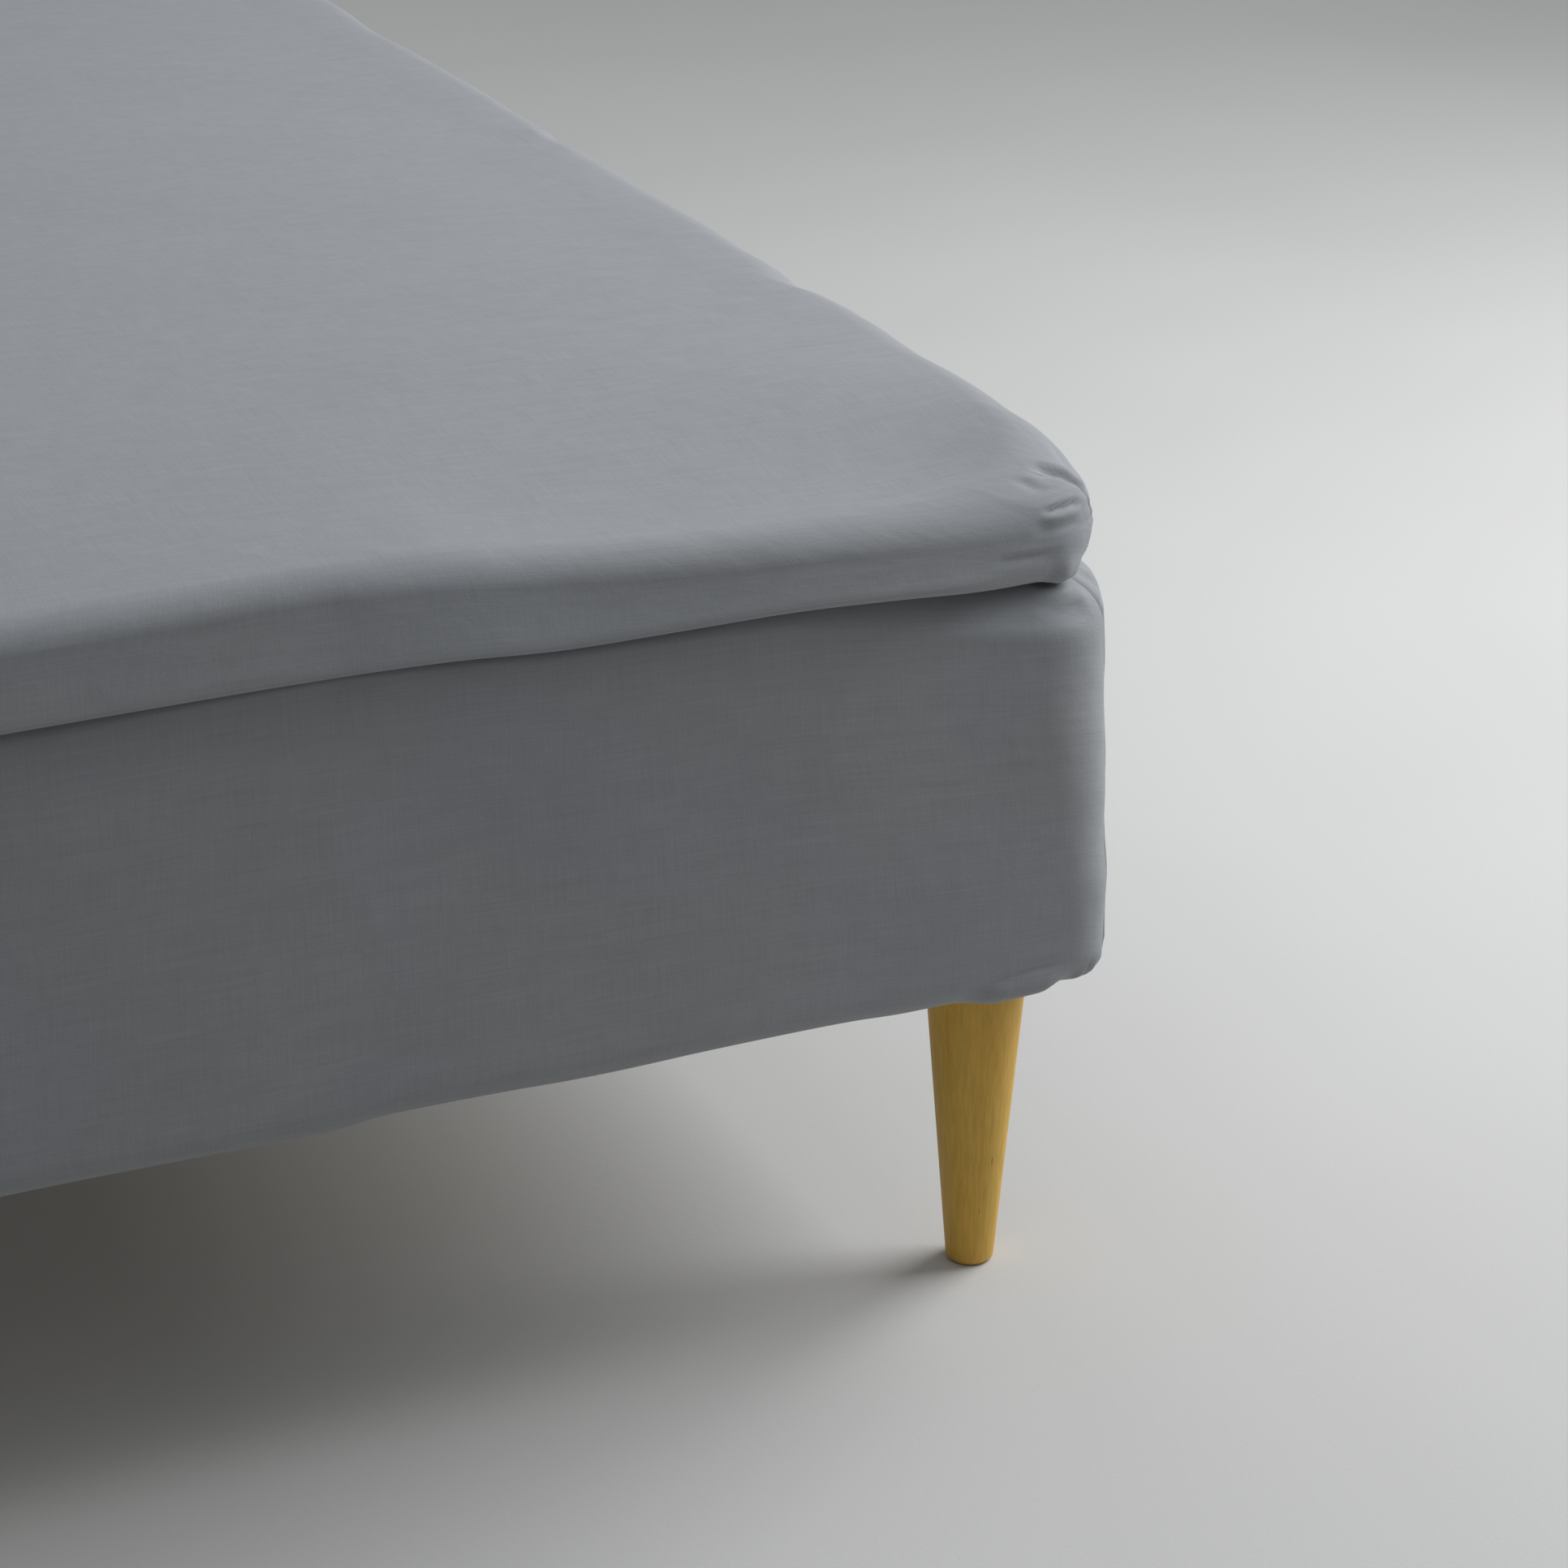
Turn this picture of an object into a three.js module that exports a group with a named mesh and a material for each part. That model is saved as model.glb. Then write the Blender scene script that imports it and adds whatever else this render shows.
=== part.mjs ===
// A single bed seen without its duvet: a box mattress on four tapered wooden legs and a foam topper on it,
// each in its own fitted sheet of grey cotton.
// Millimetres, +Z up, the floor at Z = 0. X runs across the bed and Y along it, with the foot end at -Y.
import * as THREE from 'three';

// ---------------------------------------------------------------- driving dimensions
const BED_WIDTH = 900;
const BED_LENGTH = 2000;
const LEG_HEIGHT = 200;
const BOX_HEIGHT = 243; // box mattress in its sheet
const TOPPER_HEIGHT = 76; // topper in its sheet
const CLOTH = 2; // thickness of both sheets
const GAP = 0.3; // between pieces that lie on each other
const TOPPER_SET_BACK = { side: 10, end: 2 }; // of the topper from the box below it

// The leg is a straight taper, screwed up under the box near each corner.
const LEG = { inset: 64, topRadius: 30.5, footRadius: 14.4, chamfer: 1.5, sides: 28 };

// A fitted sheet goes round its mattress from a gathered hem underneath, over a low roll, up the wall, and
// over a high roll to the top. "run" is a roll's reach along the floor, "rise" its height, "power" 1 for a
// true ellipse and less for a squarer one. "corners" gives the radius of the upright corners at heights above
// the base: the box is sharpest low down, where the sheet is drawn tight under it.
const BOX = {
  base: LEG_HEIGHT - CLOTH,
  height: BOX_HEIGHT,
  halfWidth: BED_WIDTH / 2,
  halfLength: BED_LENGTH / 2,
  corners: [
    { up: 57, radius: 36 },
    { up: 82, radius: 42 },
    { up: 117, radius: 45 },
    { up: 146, radius: 50 },
    { up: 171, radius: 56 },
  ],
  low: { run: 20, rise: 22 },
  high: { run: 22, rise: 22 },
  power: 1,
  lowSteps: 3,
  wallSteps: 4,
  highSteps: 3,
  shelf: [98], // insets of the rows on the flat top
};
const TOPPER = {
  base: BOX.base + BOX_HEIGHT + GAP,
  height: TOPPER_HEIGHT,
  halfWidth: BED_WIDTH / 2 - TOPPER_SET_BACK.side,
  halfLength: BED_LENGTH / 2 - TOPPER_SET_BACK.end,
  corners: [
    { up: 45, radius: 50 },
    { up: 76, radius: 68 },
  ],
  low: { run: 13, rise: 29 },
  high: { run: 34, rise: 43 },
  power: 0.94,
  lowSteps: 3,
  wallSteps: 1,
  highSteps: 4,
  shelf: [90, 190],
};

// Stations round a sheet: segments on its short and long sides, closer together near the corners, and on each
// corner.
const SHORT_STEPS = 16;
const LONG_STEPS = 18;
const CORNER_STEPS = 4;

// ---------------------------------------------------------------- how the cloth sits
// The topper's foot and head ends bulge between the corners, and have a flatter, more sharply edged wall there.
// Columns: place across the bed from its middle, inward pull of the end, how far its wall leans back, and what
// is added to the run and rise of the upper roll and of the lower roll. The head end is turned about.
const END_SHAPE = [
  { across: -440, pull: 0, lean: 0, highRun: 0, highRise: 0, lowRun: 0, lowRise: 0 },
  { across: -380, pull: -6, lean: 1, highRun: -6, highRise: -10, lowRun: -2, lowRise: -10 },
  { across: -250, pull: -15, lean: 3.5, highRun: -13, highRise: -20, lowRun: -7, lowRise: -21 },
  { across: -120, pull: -16, lean: 3.5, highRun: -14, highRise: -22, lowRun: -7, lowRise: -22 },
  { across: -13, pull: -16, lean: 3.5, highRun: -14, highRise: -22, lowRun: -7, lowRise: -22 },
  { across: 47, pull: -16, lean: 3.5, highRun: -11, highRise: -19, lowRun: -7, lowRise: -22 },
  { across: 238, pull: -16, lean: 3.5, highRun: -10, highRise: -18, lowRun: -7, lowRise: -22 },
  { across: 308, pull: -14, lean: 3, highRun: -9, highRise: -17, lowRun: -7, lowRise: -20 },
  { across: 350, pull: -9, lean: 2, highRun: -6, highRise: -13, lowRun: -5, lowRise: -16 },
  { across: 385, pull: -4, lean: 0.5, highRun: -4, highRise: -8, lowRun: -2, lowRise: -8 },
  { across: 415, pull: 0, lean: 0, highRun: -2, highRise: -6, lowRun: 0, lowRise: 0 },
  { across: 440, pull: 0, lean: 0, highRun: 0, highRise: 0, lowRun: 0, lowRise: 0 },
];
// How far the topper's top sinks toward its ends, at places across the bed. It fades over insets from the end.
const END_SAG = [
  { across: -440, drop: 0.5 },
  { across: -380, drop: 5 },
  { across: -250, drop: 3 },
  { across: -13, drop: 0 },
  { across: 47, drop: 2 },
  { across: 106, drop: 9 },
  { across: 172, drop: 14 },
  { across: 308, drop: 17 },
  { across: 350, drop: 14.5 },
  { across: 385, drop: 9.5 },
  { across: 415, drop: 3.5 },
  { across: 440, drop: 0.5 },
];
const SAG_FADE = { from: 30, to: 190 };
// The box's ends stand higher between the corners, where its sheet does not draw them down, and the topper's
// underside follows. Columns: place across the bed, height. It fades over insets from the end.
const END_CROWN = [
  { across: -440, height: 0 },
  { across: -380, height: 7 },
  { across: -250, height: 18 },
  { across: -13, height: 21.3 },
  { across: 47, height: 20 },
  { across: 106, height: 16.5 },
  { across: 238, height: 16.8 },
  { across: 308, height: 13.4 },
  { across: 350, height: 9 },
  { across: 385, height: 5 },
  { across: 415, height: 2.5 },
  { across: 440, height: 0 },
];
const CROWN_FADE = { from: 10, to: 98 };
const CROWN_CLEARANCE = 0.4; // share by which the topper's underside rises more than the box under it
// The box's upper roll is wide near its corners and tight between them. Columns: place across the bed, and what
// is added to its run and rise.
const BOX_ROLL = [
  { across: -400, highRun: 0, highRise: 10 },
  { across: -330, highRun: -5, highRise: 6 },
  { across: -200, highRun: -12, highRise: -12 },
  { across: 200, highRun: -12, highRise: -12 },
  { across: 330, highRun: -5, highRise: 6 },
  { across: 400, highRun: 0, highRise: 10 },
];
// Dents and swells of the topper's long sides. Columns: side (1 is right), distance from the foot end, half
// length of the dent, and depth (negative swells).
const SIDE_DENTS = [
  { side: 1, from: 68, reach: 50, depth: 5 },
  { side: 1, from: 293, reach: 24, depth: -2 },
  { side: 1, from: 372, reach: 38, depth: 5.5 },
  { side: 1, from: 775, reach: 40, depth: 3 },
  { side: 1, from: 1180, reach: 90, depth: 4 },
  { side: 1, from: 1620, reach: 120, depth: 5 },
  { side: -1, from: 90, reach: 60, depth: 4 },
  { side: -1, from: 520, reach: 110, depth: 5 },
  { side: -1, from: 980, reach: 60, depth: 4 },
  { side: -1, from: 1430, reach: 120, depth: 5 },
];
// The hem under the box keeps outside the legs and runs further in between them.
const BOX_HEM = { atLeg: 27, between: 58, clearOfLeg: 70 };
const TOPPER_HEM = { inset: 105, wave: 9, waves: 13, nextRow: 24 };
// The pull fades on the topper's top and underside, away from the edge.
const PULL_FADE = { from: 70, to: 190 };
// Puckers beside each upright corner seam, as troughs in the cloth. Columns: which sheet, distance along the
// edge from the seam, height of the trough above the sheet's base, its reach along and up, and its depth.
const PUCKERS = [
  { sheet: 'topper', along: -24, up: 62, reachAlong: 24, reachUp: 9, depth: 3.5 },
  { sheet: 'topper', along: -30, up: 30, reachAlong: 34, reachUp: 8, depth: 2 },
  { sheet: 'topper', along: 28, up: 56, reachAlong: 26, reachUp: 10, depth: 3 },
  { sheet: 'box', along: -12, up: 236, reachAlong: 20, reachUp: 12, depth: 3 },
  { sheet: 'box', along: 22, up: 232, reachAlong: 24, reachUp: 12, depth: 2.5 },
];

// ---------------------------------------------------------------- small helpers
const smooth = (low, high, x) => THREE.MathUtils.smoothstep(x, low, high);
const hump = (x) => (Math.abs(x) < 1 ? (0.5 + 0.5 * Math.cos(Math.PI * x)) : 0);

// The value of one column of a table at x, eased from row to row.
function readTable(rows, key, column, x) {
  const last = rows.length - 1;
  if (x <= rows[0][key]) return rows[0][column];
  if (x >= rows[last][key]) return rows[last][column];
  const i = rows.findIndex((row) => row[key] > x) - 1;
  const share = smooth(rows[i][key], rows[i + 1][key], x);
  return THREE.MathUtils.lerp(rows[i][column], rows[i + 1][column], share);
}

// ---------------------------------------------------------------- stations round a sheet
// Each station is a place on a rounded rectangle: the arc centre's signs, the angle of the outward normal on
// an arc, or the share of the way along a straight side. They run anticlockwise from the right foot corner.
function makeStations({ halfWidth, halfLength, corners }) {
  const corner = corners[0].radius;
  const quarters = [
    { sx: 1, sy: -1, start: -90, steps: LONG_STEPS },
    { sx: 1, sy: 1, start: 0, steps: SHORT_STEPS },
    { sx: -1, sy: 1, start: 90, steps: LONG_STEPS },
    { sx: -1, sy: -1, start: 180, steps: SHORT_STEPS },
  ];
  const stations = [];
  quarters.forEach((quarter, q) => {
    const next = quarters[(q + 1) % quarters.length];
    for (let i = 0; i <= CORNER_STEPS; i++) {
      const angle = THREE.MathUtils.degToRad(quarter.start + (90 * i) / CORNER_STEPS);
      stations.push({ from: quarter, to: quarter, share: 0, nx: Math.cos(angle), ny: Math.sin(angle) });
    }
    const angle = THREE.MathUtils.degToRad(quarter.start + 90);
    for (let i = 1; i < quarter.steps; i++) {
      const share = 0.5 - 0.5 * Math.cos((Math.PI * i) / quarter.steps);
      stations.push({ from: quarter, to: next, share, nx: Math.cos(angle), ny: Math.sin(angle) });
    }
  });
  for (const station of stations) {
    const [x, y] = outlinePoint(station, halfWidth, halfLength, corner);
    station.x = x;
    station.y = y;
    station.seam = nearestSeam(halfWidth - corner - Math.abs(x), halfLength - corner - Math.abs(y), corner);
  }
  return stations;
}

function outlinePoint(station, halfWidth, halfLength, corner) {
  const { from, to, share, nx, ny } = station;
  const centreX = THREE.MathUtils.lerp(from.sx, to.sx, share) * (halfWidth - corner);
  const centreY = THREE.MathUtils.lerp(from.sy, to.sy, share) * (halfLength - corner);
  return [centreX + corner * nx, centreY + corner * ny];
}

// Distance along the edge from the nearest corner seam, negative on the foot and head ends, from how far a
// point lies short of the corner's arc across and along the bed.
function nearestSeam(shortX, shortY, corner) {
  const halfArc = (corner * Math.PI) / 4;
  if (shortY > 0) return shortY + halfArc;
  if (shortX > 0) return -(shortX + halfArc);
  return halfArc - corner * Math.atan2(-shortY, -shortX);
}

// ---------------------------------------------------------------- cross-sections
// Rows of a sheet from its hem to the top, as inset from the wall and height above the base.
// "sinks" is the share that a row takes of the top's sinking.
function crossSection(spec, hemInsets, shape) {
  const { height, power } = spec;
  const low = { run: spec.low.run + shape.lowRun, rise: spec.low.rise + shape.lowRise };
  const high = { run: spec.high.run + shape.highRun, rise: spec.high.rise + shape.highRise };
  const rows = hemInsets.map((inset) => ({ inset, up: 0, sinks: 0 }));
  for (let i = 0; i < spec.lowSteps; i++) {
    const angle = (Math.PI / 2) * (1 - i / spec.lowSteps);
    rows.push({
      inset: low.run * (1 - Math.cos(angle) ** power),
      up: low.rise * (1 - Math.sin(angle) ** power),
      sinks: 0,
    });
  }
  for (let i = 0; i <= spec.wallSteps; i++) {
    const share = i / spec.wallSteps;
    const up = THREE.MathUtils.lerp(low.rise, height - high.rise, share);
    rows.push({ inset: shape.lean * share, up, sinks: share });
  }
  for (let i = 1; i <= spec.highSteps; i++) {
    const angle = ((Math.PI / 2) * i) / spec.highSteps;
    rows.push({
      inset: shape.lean + high.run * (1 - Math.cos(angle) ** power),
      up: height - high.rise * (1 - Math.sin(angle) ** power),
      sinks: 1,
    });
  }
  for (const inset of spec.shelf) rows.push({ inset, up: height, sinks: 1 });
  return rows;
}

// Every column of a table of the ends at a station; none on the long sides.
function onEnds(table, station) {
  const shape = { pull: 0, lean: 0, highRun: 0, highRise: 0, lowRun: 0, lowRise: 0 };
  for (const column of Object.keys(table[0])) {
    if (column === 'across') continue;
    const across = -Math.sign(station.ny) * station.x;
    shape[column] = Math.abs(station.ny) * readTable(table, 'across', column, across);
  }
  return shape;
}

// One column of a table of the ends at a point of the bed, fading over insets from the ends.
function nearEnds(table, column, fade, { x, y }) {
  const inset = BED_LENGTH / 2 - Math.abs(y);
  const faded = THREE.MathUtils.clamp((inset - fade.from) / (fade.to - fade.from), 0, 1);
  return readTable(table, 'across', column, -Math.sign(y) * x) * (1 - faded);
}

// How far in the cloth is drawn at a station of the topper.
function topperPull(station) {
  let { pull } = onEnds(END_SHAPE, station);
  for (const dent of SIDE_DENTS) {
    const facing = Math.max(0, station.nx * dent.side);
    pull += facing * dent.depth * hump((station.y + BED_LENGTH / 2 - dent.from) / dent.reach);
  }
  return pull;
}

function topperInset(station, row) {
  return row.inset + topperPull(station) * (1 - smooth(PULL_FADE.from, PULL_FADE.to, row.inset));
}

// How far a point of each sheet is moved up from its plain cross-section.
function boxLift(point) {
  const share = smooth(0, 1, (point.z - BOX.base) / BOX.height);
  return nearEnds(END_CROWN, 'height', CROWN_FADE, point) * share;
}

function topperLift(point, row) {
  const share = 1 - smooth(0, 1, (point.z - TOPPER.base) / TOPPER.height);
  const crown = (1 + CROWN_CLEARANCE) * nearEnds(END_CROWN, 'height', CROWN_FADE, point) * share;
  return crown - row.sinks * nearEnds(END_SAG, 'drop', SAG_FADE, point);
}

function boxHem(station) {
  const fromLegX = Math.abs(Math.abs(station.x) - (BOX.halfWidth - LEG.inset));
  const fromLegY = Math.abs(Math.abs(station.y) - (BOX.halfLength - LEG.inset));
  const along = station.seam < 0 ? fromLegX : fromLegY;
  const atCorner = Math.abs(station.seam) < LEG.inset;
  const clear = atCorner ? 0 : smooth(LEG.topRadius, BOX_HEM.clearOfLeg, along);
  return [THREE.MathUtils.lerp(BOX_HEM.atLeg, BOX_HEM.between, clear)];
}

// The topper's hem, then the inset of the one other row of its underside.
function topperHem(station) {
  const wave = Math.sin((TOPPER_HEM.waves * (station.x + station.y)) / BED_LENGTH);
  return [TOPPER_HEM.inset + TOPPER_HEM.wave * wave, TOPPER_HEM.nextRow];
}

// ---------------------------------------------------------------- surfaces as grids of points
// The outer face of a sheet, one ring of points for each row of the cross-section, hem first; and the outward
// normals of its unpuckered shape, along which puckers and the cloth's thickness are measured.
function outerFace(name, spec, stations, { hem, table, inset, lift }) {
  const rings = [];
  const heights = [];
  for (const station of stations) {
    crossSection(spec, hem(station), onEnds(table, station)).forEach((row, r) => {
      const point = ringPoint(station, spec, inset(station, row), row.up);
      (heights[r] ??= []).push(row.up);
      point.z += lift(point, row);
      (rings[r] ??= []).push(point);
    });
  }
  const normals = ringNormals(rings);
  const points = rings.map((ring, r) =>
    ring.map((point, k) => {
      const depth = puckerDepth(name, stations[k].seam, heights[r][k]);
      return point.clone().addScaledVector(normals[r][k], -depth);
    })
  );
  return { points, normals };
}

function ringPoint(station, spec, inset, up) {
  const corner = readTable(spec.corners, 'up', 'radius', up);
  const [x, y] = outlinePoint(station, spec.halfWidth - inset, spec.halfLength - inset, corner);
  return new THREE.Vector3(x, y, spec.base + up);
}

function puckerDepth(name, seam, up) {
  let depth = 0;
  for (const fold of PUCKERS) {
    if (fold.sheet !== name) continue;
    depth += fold.depth * hump((seam - fold.along) / fold.reachAlong) * hump((up - fold.up) / fold.reachUp);
  }
  return depth;
}

// Outward normals of a grid of rings, from its neighbours along and across.
function ringNormals(rings) {
  return rings.map((ring, r) =>
    ring.map((_, k) => {
      const n = ring.length;
      const along = ring[(k + 1) % n].clone().sub(ring[(k + n - 1) % n]);
      const above = rings[Math.min(r + 1, rings.length - 1)][k];
      const below = rings[Math.max(r - 1, 0)][k];
      const across = above.clone().sub(below);
      return along.cross(across).normalize();
    })
  );
}

// The face moved in by a distance.
function inward(face, distance) {
  return face.points.map((ring, r) =>
    ring.map((point, k) => point.clone().addScaledVector(face.normals[r][k], -distance))
  );
}

// ---------------------------------------------------------------- closed solids from rings
class SolidBuilder {
  constructor() {
    this.positions = [];
    this.faces = [];
  }

  addRings(rings) {
    return rings.map((ring) =>
      ring.map((point) => {
        this.positions.push(point.x, point.y, point.z);
        return this.positions.length / 3 - 1;
      })
    );
  }

  // A band between two rings that run anticlockwise seen from above, facing out or in, on the same diagonals.
  band(lower, upper, facesOut) {
    const n = lower.length;
    for (let k = 0; k < n; k++) {
      const j = (k + 1) % n;
      if (facesOut) this.faces.push(lower[k], lower[j], upper[j], lower[k], upper[j], upper[k]);
      else this.faces.push(lower[k], upper[j], lower[j], lower[k], upper[k], upper[j]);
    }
  }

  // A flat cap over one ring, facing up or down.
  cap(ring, facesUp) {
    const outline = ring.map((i) => new THREE.Vector2(this.positions[3 * i], this.positions[3 * i + 1]));
    for (const [a, b, c] of THREE.ShapeUtils.triangulateShape(outline, [])) {
      if (facesUp) this.faces.push(ring[a], ring[b], ring[c]);
      else this.faces.push(ring[a], ring[c], ring[b]);
    }
  }

  geometry() {
    const geometry = new THREE.BufferGeometry();
    geometry.setAttribute('position', new THREE.Float32BufferAttribute(this.positions, 3));
    geometry.setIndex(this.faces);
    geometry.computeVertexNormals();
    return geometry;
  }
}

// A thin sheet: the outer face, the same face a cloth's thickness further in, and the hem that joins them.
function sheetSolid(face) {
  const solid = new SolidBuilder();
  const out = solid.addRings(face.points);
  const inside = solid.addRings(inward(face, CLOTH));
  const top = out.length - 1;
  for (let r = 0; r < top; r++) {
    solid.band(out[r], out[r + 1], true);
    solid.band(inside[r], inside[r + 1], false);
  }
  solid.band(out[0], inside[0], false);
  solid.cap(out[top], true);
  solid.cap(inside[top], false);
  return solid.geometry();
}

// The plain mattress that fills a sheet, a gap inside it.
function coreSolid(face) {
  const solid = new SolidBuilder();
  const rings = solid.addRings(inward(face, CLOTH + GAP));
  const top = rings.length - 1;
  for (let r = 0; r < top; r++) solid.band(rings[r], rings[r + 1], true);
  solid.cap(rings[0], false);
  solid.cap(rings[top], true);
  return solid.geometry();
}

function legGeometry() {
  const { topRadius, footRadius, chamfer, sides } = LEG;
  const profile = [
    new THREE.Vector2(0, 0),
    new THREE.Vector2(footRadius - chamfer, 0),
    new THREE.Vector2(footRadius, chamfer),
    new THREE.Vector2(topRadius, LEG_HEIGHT),
    new THREE.Vector2(0, LEG_HEIGHT),
  ];
  const geometry = new THREE.LatheGeometry(profile, sides);
  geometry.rotateX(Math.PI / 2);
  return geometry;
}

// ---------------------------------------------------------------- materials
const MATERIALS = {
  sheetCotton: new THREE.MeshStandardMaterial({ color: 0x94979b, roughness: 0.9, metalness: 0 }),
  foam: new THREE.MeshStandardMaterial({ color: 0xe9e6de, roughness: 0.95, metalness: 0 }),
  ticking: new THREE.MeshStandardMaterial({ color: 0xdedcd6, roughness: 0.9, metalness: 0 }),
  legWood: new THREE.MeshStandardMaterial({ color: 0xb58b4c, roughness: 0.45, metalness: 0 }),
};

// ---------------------------------------------------------------- the bed
const bed = new THREE.Group();

function addPiece(name, geometry, material, x = 0, y = 0, z = 0) {
  const piece = new THREE.Mesh(geometry, material);
  piece.name = name;
  piece.position.set(x, y, z);
  bed.add(piece);
}

function addMattress(coreName, sheetName, face, coreMaterial) {
  addPiece(coreName, coreSolid(face), coreMaterial);
  addPiece(sheetName, sheetSolid(face), MATERIALS.sheetCotton);
}

const boxFace = outerFace('box', BOX, makeStations(BOX), {
  hem: boxHem,
  table: BOX_ROLL,
  inset: (_, row) => row.inset,
  lift: boxLift,
});
const topperFace = outerFace('topper', TOPPER, makeStations(TOPPER), {
  hem: topperHem,
  table: END_SHAPE,
  inset: topperInset,
  lift: topperLift,
});
addMattress('box_mattress', 'box_sheet', boxFace, MATERIALS.ticking);
addMattress('topper', 'topper_sheet', topperFace, MATERIALS.foam);

const LEG_PLACES = [
  { name: 'leg_foot_right', sx: 1, sy: -1 },
  { name: 'leg_head_right', sx: 1, sy: 1 },
  { name: 'leg_head_left', sx: -1, sy: 1 },
  { name: 'leg_foot_left', sx: -1, sy: -1 },
];
for (const { name, sx, sy } of LEG_PLACES) {
  const x = sx * (BED_WIDTH / 2 - LEG.inset);
  const y = sy * (BED_LENGTH / 2 - LEG.inset);
  addPiece(name, legGeometry(), MATERIALS.legWood, x, y, 0);
}

export default bed;
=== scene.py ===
"""A single bed seen without its duvet: a box mattress on four tapered wooden legs and a foam topper on it,
each in its own fitted sheet of grey cotton. Shapes are worked out in millimetres, in the frame of the CAD
model: +Z up, X across the bed, the foot end at -Y. They become metres as each mesh is made."""
import math
from collections import namedtuple

import bpy
import numpy as np
from mathutils import Matrix, Vector
from mathutils.geometry import delaunay_2d_cdt


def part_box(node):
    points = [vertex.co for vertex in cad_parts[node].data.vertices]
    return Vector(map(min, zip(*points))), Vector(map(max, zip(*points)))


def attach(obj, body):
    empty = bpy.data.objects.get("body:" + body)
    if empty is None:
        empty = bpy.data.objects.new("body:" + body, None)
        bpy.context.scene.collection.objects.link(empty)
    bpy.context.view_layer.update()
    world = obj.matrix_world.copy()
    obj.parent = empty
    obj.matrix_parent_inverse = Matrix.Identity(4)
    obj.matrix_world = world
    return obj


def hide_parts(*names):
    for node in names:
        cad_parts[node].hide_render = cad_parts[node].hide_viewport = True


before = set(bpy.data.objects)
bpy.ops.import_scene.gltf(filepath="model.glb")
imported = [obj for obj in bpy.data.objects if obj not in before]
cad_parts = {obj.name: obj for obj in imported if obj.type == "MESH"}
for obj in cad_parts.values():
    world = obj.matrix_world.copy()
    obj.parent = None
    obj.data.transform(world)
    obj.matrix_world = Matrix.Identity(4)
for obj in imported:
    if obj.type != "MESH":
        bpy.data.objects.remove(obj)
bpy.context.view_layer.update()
MM = 0.001


# ------------------------------------------------------------------ sizes
def size_of(node):
    """Lowest and highest corners of a CAD node, in millimetres."""
    low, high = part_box(node)
    return np.array(low) / MM, np.array(high) / MM


BOX_LOW, BOX_HIGH = size_of("box_sheet")
TOPPER_LOW, TOPPER_HIGH = size_of("topper_sheet")
HALF_WIDTH, HALF_LENGTH = BOX_HIGH[0], BOX_HIGH[1]
TOPPER_SET_BACK = {"side": 10, "end": 2}
GAP = 0.3  # between the box's level top and the topper
CLOTH = 0.9  # thickness of the cloth
# From the cloth's outer face to the mattress in it: under the edge, and once it has widened over these rises,
# with a little more at the corners, where the mattress is rounder than its sheet.
CORE_INSIDE = {"under": 2.3, "level": 4.5, "widens": (-5, 25), "corner": 3, "corner_reach": 90}

# Half sizes, base and height of a sheet, the radius that lengths round its corners are counted by, the true
# radius of its upright corners at heights above the base, and the run and rise of its lower and upper roll.
# "power" is 1 for a true ellipse and less for a squarer roll.
Section = namedtuple(
    "Section",
    "half_width half_length base height radius corners low_run low_rise high_run high_rise power",
)
BOX = Section(
    half_width=HALF_WIDTH,
    half_length=HALF_LENGTH,
    base=BOX_LOW[2],
    height=TOPPER_LOW[2] - GAP - BOX_LOW[2],
    radius=36,
    corners=((57, 36), (82, 42), (117, 45), (146, 50), (171, 56)),
    low_run=20,
    low_rise=22,
    high_run=22,
    high_rise=22,
    power=1,
)
TOPPER = Section(
    half_width=HALF_WIDTH - TOPPER_SET_BACK["side"],
    half_length=HALF_LENGTH - TOPPER_SET_BACK["end"],
    base=TOPPER_LOW[2],
    height=TOPPER_HIGH[2] - TOPPER_LOW[2],
    radius=50,
    corners=((45, 50), (76, 68)),
    low_run=13,
    low_rise=29,
    high_run=34,
    high_rise=43,
    power=0.94,
)

# Segments along a short side, a long side and a corner's arc, then rows under the edge, on the lower roll,
# the wall and the upper roll, and insets of the rows on the flat top.
Steps = namedtuple("Steps", "short long corner under low wall high shelf")
BOX_STEPS = Steps(
    short=110,
    long=140,
    corner=32,
    under=7,
    low=15,
    wall=26,
    high=10,
    shelf=(34, 44, 54, 64, 75, 87, 100, 115, 135),
)
TOPPER_STEPS = Steps(
    short=140,
    long=172,
    corner=36,
    under=5,
    low=10,
    wall=7,
    high=28,
    shelf=(50, 64, 82, 108, 145, 190),
)
CORE_STEPS = Steps(
    short=60,
    long=70,
    corner=14,
    under=6,
    low=6,
    wall=10,
    high=10,
    shelf=(45, 60, 80, 100, 120),
)
# How stations crowd together: beside each corner, round a small dent of the right side, and on a corner's arc
# toward its seam, where the power is over 1.
CROWDING = {
    "corner": 4,
    "corner_reach": 60,
    "dent": 2.5,
    "dent_start": 770,
    "dent_reach": 140,
    "seam_power": 1.5,
    "samples": 2000,
}
BOX_FILL = 60  # spacing of the points that fill each flat top
TOPPER_FILL = 20
CORE_FILL = 40
FILL_MARGIN = 0.6  # share of that spacing that stays clear inside the last ring

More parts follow.
